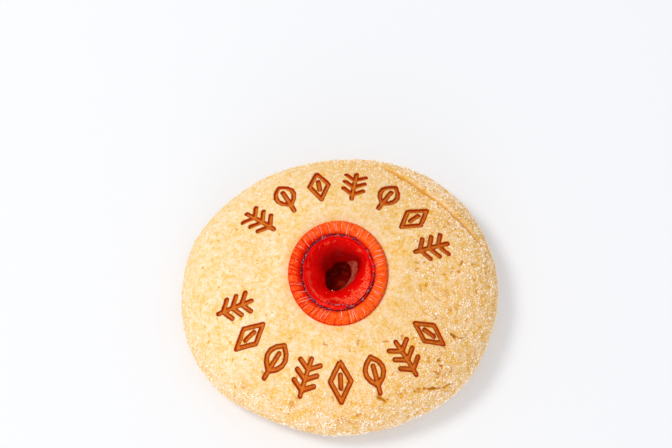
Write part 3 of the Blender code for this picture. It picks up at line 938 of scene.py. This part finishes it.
def make_sugar(crust, material, name, count, least, most, seed, evenness, worn):
    """Crystals joined in one mesh, strewn over the crust where it is coarse. Worn ones lie deeper."""
    draw = np.random.default_rng(seed)
    shape, faces = (CUBE, CUBE_FACES) if worn else (STONE, STONE_FACES)
    grid = crust["grid"]
    corner = [grid[:-1], np.roll(grid[:-1], -1, axis=1), grid[1:], np.roll(grid[1:], -1, axis=1)]
    across = np.cross(corner[3] - corner[0], corner[2] - corner[1])
    weight = np.linalg.norm(across, axis=2) * crust["clear"][:-1]
    weight = weight * (evenness + crust["coarse"][:-1] ** 1.6) * crust["cluster"][:-1]
    chosen = draw.choice(weight.size, count, p=(weight / weight.sum()).ravel())
    u, v = draw.random(count)[:, None], draw.random(count)[:, None]
    a, b, c, d = [part.reshape(-1, 3)[chosen] for part in corner]
    place = (a * (1 - u) + b * u) * (1 - v) + (c * (1 - u) + d * u) * v
    up = across.reshape(-1, 3)[chosen]
    up = up / np.linalg.norm(up, axis=1, keepdims=True)
    up = np.where((up * (place - (AXIS_X, AXIS_Y, BELLY_HEIGHT))).sum(1, keepdims=True) < 0, -up, up)
    size = draw.uniform(least, most, count)
    stretch = draw.uniform(0.62, 1.0, (count, 3)) * size[:, None] / 2
    sunk = SUNK_WORN if worn else SUNK_SHARP
    middle = place + up * (size * draw.uniform(*sunk, count))[:, None]
    turns = random_turns(draw, count)
    local = shape[None, :, :] * stretch[:, None, :]
    points = np.einsum("nij,nkj->nki", turns, local) + middle[:, None, :]
    points[..., 2] = np.maximum(points[..., 2], 0.0)
    joined = (faces[None, :, :] + (np.arange(count) * len(shape))[:, None, None]).reshape(-1, faces.shape[1])
    white = crust["white"][:-1].ravel()[chosen]
    tint = np.repeat(draw.random(count) + 0.28 * white, len(shape))
    new_piece(name, points.reshape(-1, 3), joined, "crust", material, smooth=worn, tint=tint)


# The jelly


def tapered(thick, ends, count):
    """Radii along a strand, full in its middle and only this share of it at the ends."""
    return [thick * (ends + (1.0 - ends) * math.sin(math.pi * (i + 0.5) / count)) for i in range(count)]


def leftward(angle, low, high):
    """0 towards the right and 1 towards the left, with a smooth rise from low to high between."""
    return ramp(low, high, -math.cos(angle))


def ring_surface(creases, depths, place, section):
    """A point on the ring and how creased it is there. The place counts pleats, with the share of the way
    across one, and the section turns from the outside over the top."""
    pleat = int(place) % PLEATS
    share = place - int(place)
    angle = creases[pleat] + (creases[pleat + 1] - creases[pleat]) * share
    near = min(share, 1.0 - share) * ((creases[pleat + 1] - creases[pleat]) * RING_OUTER)
    depth = depths[pleat] if share < 0.5 else depths[(pleat + 1) % PLEATS]
    groove = math.exp(-((near / 0.00010) ** 2)) * 0.65 + math.exp(-((near / 0.00030) ** 2)) * 0.20
    ripple = 0.00002 * math.sin(2.0 * math.pi * share * 4.0 + pleat)
    c, s = math.cos(section), math.sin(section)
    angle -= PLEAT_SLANT * c * max(0.0, math.cos(angle - math.radians(210.0)))
    plump = (abs(c) ** RING_SECTION_POWER + abs(s) ** RING_SECTION_POWER) ** (-1.0 / RING_SECTION_POWER)
    drawn_in = depth * groove * ramp(-0.1, 0.5, s) * (1.0 - 0.6 * ramp(0.75, 1.0, c)) + ripple
    scallop = PLEAT_SCALLOP * (math.sin(math.pi * share) ** 0.5 - 0.9) * max(0.0, c) ** 0.5
    rho = (RING_OUTER + RING_INNER) / 2
    rho = rho + c * (plump * (RING_OUTER - RING_INNER) / 2 - drawn_in * 0.6) + scallop
    z = RING_CENTRE_Z + s * (plump * RING_HEIGHT / 2 - drawn_in)
    point = axis_point(rho * plan_factor(rho, angle), angle, z)
    return point, min(1.0, 1.6 * groove * depth / PLEAT_DEPTH)


def make_band():
    """The pleated ring, and the pale dry edges along some of its creases."""
    draw = random.Random(41)
    creases = pleat_creases()
    on_left = [leftward(at, -0.2, 0.8) for at in creases[:-1]]
    depths = [PLEAT_DEPTH * (draw.uniform(0.08, 0.38) + 0.42 * share) for share in on_left]
    around = 40
    shares = [0.0, 0.035, 0.08, 0.14, 0.22, 0.32, 0.44, 0.56, 0.68, 0.78, 0.86, 0.92, 0.965, 0.985]
    hair = random.Random(44)
    tones = [hair.uniform(-0.15, 0.20) for _ in range(PLEATS)]
    streaks = [[max(0.0, tone + hair.uniform(-0.4, 0.70)) for _ in shares] for tone in tones]
    points, crease, inner, streak = [], [], [], []
    for k in range(around):
        section = 2.0 * math.pi * k / around
        # Painted shade, kept under the name inner: darker red at the band's foot on the crust and on its
        # inner side towards the seam, reaching further round on the left.
        foot = 0.75 * ramp(0.84, 0.97, math.cos(section)) * ramp(-0.6, -0.3, -math.sin(section))
        for pleat in range(PLEATS):
            redder = 0.60 * leftward(creases[pleat], -0.2, 1.0)
            reach = 0.40 - 0.9 * redder
            for column, share in enumerate(shares):
                point, creased = ring_surface(creases, depths, pleat + share, section)
                points.append(point)
                crease.append(creased)
                fleck = streaks[pleat][column] * (0.65 + 0.35 * math.sin(3.0 * section + column))
                streak.append(redder + fleck)
                inner.append(max(leftward(section, reach, reach + 0.7), foot))
    faces = grid_faces(around, PLEATS * len(shares), closed_rows=True)[:, ::-1]
    values = {"crease": crease, "inner": inner, "streak": streak}
    new_piece("band", np.array(points), faces, "jelly_band", band_material(), "jelly_ring", **values)
    lines, radii = [], []
    steps = 11
    for pleat in range(PLEATS):
        for _ in range(draw.choice((0, 1, 1, 1, 2, 2))):
            offset = draw.choice((-1, 1)) * draw.uniform(0.05, 0.34)
            start, end = draw.uniform(0.30, 1.4), draw.uniform(1.9, 2.9)
            line = []
            for i in range(steps):
                along = i / (steps - 1)
                drift = offset * (1.0 - 0.5 * along) + 0.06 * math.sin(6.0 * along + pleat)
                at = (pleat + 1.0 + drift) % PLEATS
                line.append(ring_surface(creases, depths, at, start + (end - start) * along)[0])
            lines.append(line)
            thick = draw.uniform(0.000045, 0.000080) * (1.0 - 0.35 * on_left[pleat])
            radii.append(tapered(thick, 0.35, steps))
    points, faces = tubes(lines, radii, 5)
    new_piece("band_edges", points, faces, "jelly_band", thread_material())


def seam_stitch(draw, angle, heavy, radial):
    """One stitch's points and radii. It may come in off the band along a crease, and then runs round."""
    line = []
    if radial:
        lean = draw.uniform(-0.020, 0.020)
        reach = draw.uniform(0.2, 1.0)
        start = (0.00845 + 0.0005 * reach, 0.02175 + 0.00040 * reach)
        for rho, z in (start, (0.00850, 0.02184), (0.00828, 0.02180)):
            line.append((rho, angle + lean * (rho - SEAM_RADIUS) / 0.0008, z))
    run = draw.uniform(0.00030, 0.00120) * (0.7 if radial else 1.0)
    slant = draw.choice((-1, 1)) * draw.uniform(0.00005, 0.00045)
    outwards = leftward(angle, -0.1, 0.8)
    aside = draw.uniform(-0.00012, 0.00014) + 0.00028 * outwards
    height = SEAM_Z + 0.00016 + 0.00008 * outwards
    turn = angle - 2.0 * math.pi * (angle > math.pi)
    if math.radians(ROLL[0] - 3.0) < turn < math.radians(ROLL[1] + 3.0):
        slant *= 0.4
        aside, height = 0.00048, SEAM_Z + 0.00012
    for i in range(5):
        share = i / 4
        rho = SEAM_RADIUS + aside + slant * (share - 0.5)
        line.append((rho, angle + run * share / SEAM_RADIUS, height + 0.00006 * math.sin(math.pi * share)))
    thick = draw.uniform(0.00007, 0.00015) * heavy
    points = [axis_point(rho * plan_factor(rho, at), at, z) for rho, at, z in line]
    return points, tapered(thick, 0.45, len(line))


def make_seam():
    """The seam's dark stitches, uneven on the right, close and thin on the left, over its red cord."""
    draw = random.Random(8)
    strands = []
    for crease in pleat_creases()[:-1]:
        on_left = leftward(crease, -0.1, 0.6)
        heavy = 1.15 - 0.45 * on_left + draw.uniform(-0.2, 0.3)
        stitches = [(crease, draw.random() < 0.7)]
        if draw.random() < 0.15 + 0.80 * on_left:
            stitches.append((crease + draw.uniform(0.3, 0.7) * 2.0 * math.pi / PLEATS, False))
        for angle, radial in stitches:
            if draw.random() >= 0.30 - 0.15 * on_left:
                strands.append((*seam_stitch(draw, angle, heavy, radial), draw.random() * 0.78))
    for end, tint, first in ((ROLL[0], 0.0, 0.00795), (ROLL[1], 0.30, 0.00740)):
        tip = math.radians(end)
        radii = (first, first + 0.00025, first + 0.00055, first + 0.00085)
        line = [axis_point(rho * plan_factor(rho, tip), tip, SEAM_Z + 0.00012) for rho in radii]
        strands.append((line, [0.00008, 0.00020, 0.00022, 0.00012], tint))
    for i in range(7):
        at = math.radians(ROLL[0] + (ROLL[1] - ROLL[0]) * (0.25 + 0.10 * i))
        line = []
        for k in range(4):
            turn = at + draw.uniform(0.02, 0.04) * k
            across = (0.00724 + draw.uniform(-0.00006, 0.00006)) * plan_factor(0.0072, turn)
            line.append(axis_point(across, turn, SEAM_Z - 0.00012))
        strands.append((line, [0.00007, 0.00015, 0.00015, 0.00007], draw.uniform(0.3, 0.78)))
    at = math.radians(70.0)
    while at < math.radians(400.0):
        span = draw.uniform(0.06, 0.20)
        aside = draw.uniform(-0.00008, 0.00008)
        line = []
        for k in range(6):
            turn = at + span * k / 5
            outwards = leftward(turn, -0.1, 0.8)
            rho = SEAM_RADIUS + 0.00014 + 0.00026 * outwards + aside + 0.00005 * math.sin(40.0 * turn)
            across = rho * plan_factor(SEAM_RADIUS, turn)
            line.append(axis_point(across, turn, SEAM_Z + 0.00010 + 0.00010 * outwards))
        widths = [0.00003, 0.00007, 0.00008, 0.00008, 0.00007, 0.00003]
        strands.append((line, widths, draw.uniform(0.45, 0.78)))
        at += span * draw.uniform(0.9, 1.0 + 1.6 * ramp(-0.2, 0.8, math.cos(at)))
    steps = 200
    cord, widths = [], []
    for i in range(steps + 1):
        at = 2.0 * math.pi * i / steps
        across = SEAM_RADIUS * plan_factor(SEAM_RADIUS, at) + 0.00006 * math.sin(7.0 * at + 1.0)
        cord.append(axis_point(across, at, SEAM_Z - 0.00022))
        thin = 0.45 * math.exp(-(((at - math.radians(315.0)) / math.radians(32.0)) ** 2))
        width = 0.00038 + 0.00003 * math.sin(11.0 * at) + 0.00003 * math.sin(29.0 * at)
        widths.append(width * (1.0 - thin))
    strands.append((cord, widths, 1.0))
    lines, radii, tints = zip(*strands)
    sides = 6
    points, faces = tubes(lines, radii, sides)
    tint = np.repeat(tints, [len(line) * sides for line in lines])
    new_piece("seam", points, faces, "seam", seam_material(), "seam_strand", tint=tint)


def throat_outline(angle):
    """(radius of the throat's edge, radius of the dark hole, height of the edge) at each angle."""
    turns = np.radians([row[0] for row in THROAT_OUTLINE])
    turns = np.concatenate([turns - 2.0 * np.pi, turns, turns + 2.0 * np.pi])
    order = np.argsort(turns)
    found = []
    for column in (1, 2):
        radii = np.tile([row[column] for row in THROAT_OUTLINE], 3)
        fine = np.interp(angle, turns[order], radii[order])
        found.append(sum(np.roll(fine, shift) for shift in (2, 1, 0, -1, -2)) / 5.0)
    return found[0], found[1], THROAT_Z + THROAT_LIFT * hump(angle, 36, 30)


def bowl_rows(angle):
    """The bowl's grid from the middle of the hollow's floor up the inside, over the rim and down the outside.
    The second result is each row's place: under 0 in the hole, 0 to 1 on the ledge, 1 to 2 on the funnel and
    more outside."""
    edge, hole, edge_z = throat_outline(angle)
    rim = (BOWL_RIM - 0.0005) * plan_factor(BOWL_RIM, angle)
    hole_z = THROAT_Z - LEDGE_DROP + 0.6 * (edge_z - THROAT_Z)
    wall = THROAT_RADIUS + BOWL_WALL
    low = HOLLOW_FLOOR - BOWL_WALL
    rows = [(hole * 0.8 * share, HOLLOW_FLOOR, -2.0) for share in (0.25, 0.55, 0.80)]
    for i in range(13):
        share = i / 12
        swell_out = 0.8 + 0.2 * math.sin(share * math.pi / 2)
        rows.append((hole * swell_out, HOLLOW_FLOOR + (hole_z - HOLLOW_FLOOR) * share**1.2, share - 1.0))
    for i in range(1, 10):
        share = i / 9
        rows.append((hole + (edge - hole) * share, hole_z + (edge_z - hole_z) * share**1.3, share))
    for i in range(1, 45):
        share = i / 44
        rise = share + 0.06 * math.sin(math.pi * share)
        height = edge_z + (BOWL_TOP - 0.0002 - edge_z) * rise
        rows.append((edge + (rim - edge) * share**1.12, height, 1.0 + share))
    for turn in (150, 125, 100, 75, 50, 25):
        bend = math.radians(turn)
        rho = BOWL_RIM - RIM_ROUND + RIM_ROUND * math.cos(bend)
        rows.append((rho * plan_factor(rho, angle), BOWL_TOP - RIM_ROUND + RIM_ROUND * math.sin(bend), 2.2))
    for i in range(8):
        share = 1.0 - i / 7
        rho = wall + (BOWL_RIM - THROAT_RADIUS - BOWL_WALL) * share**1.15
        height = THROAT_Z - 0.0012 + (BOWL_TOP - 0.0006 - THROAT_Z + 0.0012) * share
        rows.append((rho * plan_factor(rho, angle), height, 3.0))
    rows += [(wall, HOLLOW_FLOOR - 0.0002, 3.0), (wall - 0.0009, low, 3.0), (0.0015, low, 3.0)]
    across, height, place = [np.array([value + 0.0 * angle for value in column]) for column in zip(*rows)]
    grid = np.stack([across * np.cos(angle) + AXIS_X, across * np.sin(angle) + AXIS_Y, height], axis=-1)
    return grid, place


def make_bowl():
    """The wet funnel with broad soft creases, a ledge at its right with a painted reflection, and a ragged
    hole painted dark for its shade.
    """
    columns = 320
    angle = np.arange(columns) * 2.0 * math.pi / columns
    angle = np.where(angle > math.pi, angle - 2.0 * math.pi, angle)
    grid, place = bowl_rows(angle)
    circle = np.stack([np.cos(angle) * 2.0, np.sin(angle) * 2.0, np.zeros(columns)], axis=1)
    ragged = field(circle, 0.20, 13) * 0.00014 + field(circle, 0.09, 17) * 0.00006
    folds = field(circle, 0.8, 14) * 0.00016
    uneven_rim = 0.00016 * field(circle, 0.22, 19) + 0.00008 * field(circle, 0.09, 20)
    funnel = ramp(1.0, 1.25, place) * fall(1.85, 2.0, place)
    near_edge = np.exp(-(((place - 1.0) / 0.16) ** 2)) * (place < 2.1)
    on_rim = np.exp(-(((place - 2.05) / 0.25) ** 2)) * (place < 2.5)
    inward = near_edge * ragged + funnel * folds
    inward = inward + funnel * 0.00007 * field(grid, 0.0012, 15)
    inward = inward + on_rim * uneven_rim
    grid[..., 0] -= np.cos(angle) * inward
    grid[..., 1] -= np.sin(angle) * inward
    poles = [[AXIS_X, AXIS_Y, HOLLOW_FLOOR], [AXIS_X, AXIS_Y, HOLLOW_FLOOR - BOWL_WALL]]
    points = np.concatenate([grid.reshape(-1, 3), poles])
    edge, hole, _ = throat_outline(angle)
    ledged = ramp(0.0001, 0.0005, edge - hole)
    # Painted shade: the hole below the throat, and the step down into it where there is no ledge, are nearly
    # black maroon.
    deep = np.maximum(fall(-0.05, 0.12, place), fall(0.80, 1.0, place) * (1.0 - ledged))
    # Painted reflection: the ledge at the right is coloured as a light's reflection in the wet jelly.
    ledge = ramp(-0.05, 0.10, place) * fall(0.97, 1.04, place) * ledged
    patch = field(grid, 0.0016, 16)
    fleck = field(grid, 0.0007, 18)
    broad = field(grid, 0.0030, 22)
    lit = 0.5 + 0.5 * np.cos(angle + math.radians(60))
    left = hump(angle, 172, 42)
    near = hump(angle, -42, 34)
    gap = hump(angle, -96, 11, 4) * ramp(1.62, 1.70, place + 0.20 * fleck)
    # Painted sheen: pale pink patches on the wall that faces the light, on the upper left and up to the rim,
    # with flecks near the rim.
    start = 2.00 - 0.45 * lit**1.8 - 0.14 * left
    painted_sheen = ramp(0.0, 0.05, place - start + 0.32 * patch + 0.10 * fleck)
    painted_sheen = painted_sheen * ramp(-0.34, -0.22, broad + 0.25 * patch)
    painted_sheen = painted_sheen * fall(2.02 + 0.2 * near, 2.15 + 0.25 * near, place)
    painted_sheen = painted_sheen * (0.04 + 0.90 * np.maximum(lit, 0.45 * left)) * (1.0 - gap)
    rim_sheen_flecks = ramp(1.88, 1.94, place) * fall(2.0, 2.2, place) * ramp(0.10, 0.30, fleck + 0.4 * patch)
    painted_sheen = np.maximum(painted_sheen, 0.55 * rim_sheen_flecks)
    # Painted shade, kept under the name thick: darker red on the far wall, a little on the left, and in a
    # narrow break in the sheen on the near side.
    far = ramp(-0.2, 0.9, np.cos(angle - math.radians(82)))
    thick = (0.25 + 0.75 * far) * fall(1.0, 1.95, place) + 0.40 * far + 0.15 * left
    thick = np.clip(thick + 0.30 * gap, 0.0, 1.0) * (place >= 1.0) * (place < 2.1)
    values = {"painted_sheen": painted_sheen, "ledge": ledge, "thick": thick}
    values = {name: np.append(value, [0.0, 0.0]) for name, value in values.items()}
    values["deep"] = np.append(deep, [1.0, 0.0])
    faces = closed_faces(len(grid), columns)
    piece = new_piece("bowl", points, faces, "jelly_bowl", bowl_material(), "jelly_bowl", **values)
    piece.data.materials.append(hole_material())
    in_hole = (place[:-1] < -0.12).ravel()
    holes = np.zeros(len(faces), np.int32)
    holes[: len(in_hole)] = in_hole
    holes[len(in_hole) :: 2] = 1
    piece.data.polygons.foreach_set("material_index", holes)


def make_roll():
    """The small roll of jelly that has crept over the seam on the near side."""
    first, last, radius, thick = ROLL
    steps = 60
    line, widths = [], []
    for i in range(steps + 1):
        share = i / steps
        at = math.radians(first + (last - first) * share)
        rho = radius + 0.00010 * math.sin(9.0 * share + 1.0) + 0.00005 * math.sin(31.0 * share)
        line.append(axis_point(rho * plan_factor(BOWL_RIM, at), at, BOWL_TOP - 0.00012))
        bulge = 1.0 + 0.14 * math.sin(23.0 * share)
        widths.append(thick * (0.25 + 0.75 * math.sin(math.pi * share) ** 0.5) * bulge)
    points, faces = tubes([line], [widths], 10)
    shade = Shader("jelly_roll")
    colour = shade.mix(shade.patches(0.0010, 3.0, 0.35, 0.65), ROLL_DEEP, ROLL_RED)
    normal = shade.bump(shade.noise(0.0006, 2.0), 0.00008, 0.5)
    new_piece("roll", points, faces, "jelly_bowl", shade.finish(colour, 0.3, 0.10, Normal=normal))


def make_glints():
    """Tiny pale beads on the wet jelly round the throat's near side, painted highlights."""
    draw = random.Random(77)
    lines, radii = [], []
    for i in range(10):
        at = math.radians(draw.uniform(-125, -15) if i else -112.0)
        rho = draw.uniform(0.0036, 0.0052) if i else 0.0036
        share = (rho - 0.0030) / (BOWL_RIM - 0.0030)
        base = THROAT_Z + 0.00015 + (BOWL_TOP - THROAT_Z) * (share + 0.06 * math.sin(math.pi * share))
        x = rho * math.cos(at) + AXIS_X
        y = rho * plan_factor(rho, at) * math.sin(at) + AXIS_Y
        thick = draw.uniform(0.00005, 0.00010) if i else 0.00016
        lines.append([(x - thick, y, base), (x, y, base + 0.00002), (x + thick, y, base)])
        radii.append([0.3 * thick, thick, 0.3 * thick])
    points, faces = tubes(lines, radii, 6)
    shade = Shader("jelly_glints")
    colour = shade.mix(shade.noise(0.0010, 2.0), GLINT_ORANGE, GLINT_PALE)
    new_piece("glints", points, faces, "jelly_bowl", shade.finish(colour, 0.3, 0.3))


# The stage


def make_floor():
    """The pale floor, lit a little from within so that its shadows stay soft."""
    glow = {"Emission Color": FLOOR_GLOW_COLOUR, "Emission Strength": FLOOR_GLOW}
    mesh = bpy.data.meshes.new("floor")
    corners = [(x * FLOOR_HALF, y * FLOOR_HALF, 0) for x, y in ((-1, -1), (1, -1), (1, 1), (-1, 1))]
    mesh.from_pydata(corners, [], [(0, 1, 2, 3)])
    mesh.materials.append(Shader("floor").finish(FLOOR_COLOUR, 0.95, 0.0, **glow))
    floor = bpy.data.objects.new("floor", mesh)
    bpy.context.scene.collection.objects.link(floor)
    floor.location.z = -0.00002


def make_lights():
    """A bright surround and round soft lights that shine on the biscuit."""
    world = bpy.data.worlds.new("studio")
    bpy.context.scene.world = world
    world.use_nodes = True
    background = world.node_tree.nodes["Background"]
    background.inputs["Color"].default_value = WORLD_COLOUR
    background.inputs["Strength"].default_value = WORLD_STRENGTH
    for name, place, size, power, colour in LIGHTS:
        lamp = bpy.data.lights.new(name, "AREA")
        lamp.shape = "DISK"
        lamp.size = size
        lamp.energy = power
        lamp.color = colour
        obj = bpy.data.objects.new(name, lamp)
        bpy.context.scene.collection.objects.link(obj)
        obj.location = place
        obj.rotation_euler = (Vector(LIGHT_AIM) - Vector(place)).to_track_quat("-Z", "Y").to_euler()


def make_camera():
    """The photo's view: from the near side and steeply down, the biscuit below the frame's middle."""
    camera = bpy.data.cameras.new("camera")
    camera.lens = CAMERA_LENS
    camera.sensor_width = 36.0
    camera.clip_start = 0.01
    obj = bpy.data.objects.new("camera", camera)
    bpy.context.scene.collection.objects.link(obj)
    rise = math.radians(CAMERA_ELEVATION)
    obj.location = Vector(CAMERA_TARGET) + CAMERA_DISTANCE * Vector((0.0, -math.cos(rise), math.sin(rise)))
    obj.rotation_euler = (math.pi / 2 - rise, 0.0, 0.0)
    bpy.context.scene.camera = obj


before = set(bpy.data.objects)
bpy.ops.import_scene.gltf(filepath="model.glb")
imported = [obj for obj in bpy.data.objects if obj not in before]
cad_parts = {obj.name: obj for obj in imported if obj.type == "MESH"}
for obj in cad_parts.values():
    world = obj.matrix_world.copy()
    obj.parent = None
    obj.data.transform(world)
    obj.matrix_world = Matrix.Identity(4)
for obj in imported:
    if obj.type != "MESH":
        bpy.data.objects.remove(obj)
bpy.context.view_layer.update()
bpy.context.scene.view_settings.view_transform = "Standard"
make_camera()
make_lights()
make_floor()
crust = make_crust()
make_band()
make_seam()
make_bowl()
make_roll()
make_glints()
sugar = sugar_material()
for kind in SUGAR:
    make_sugar(crust, sugar, *kind)
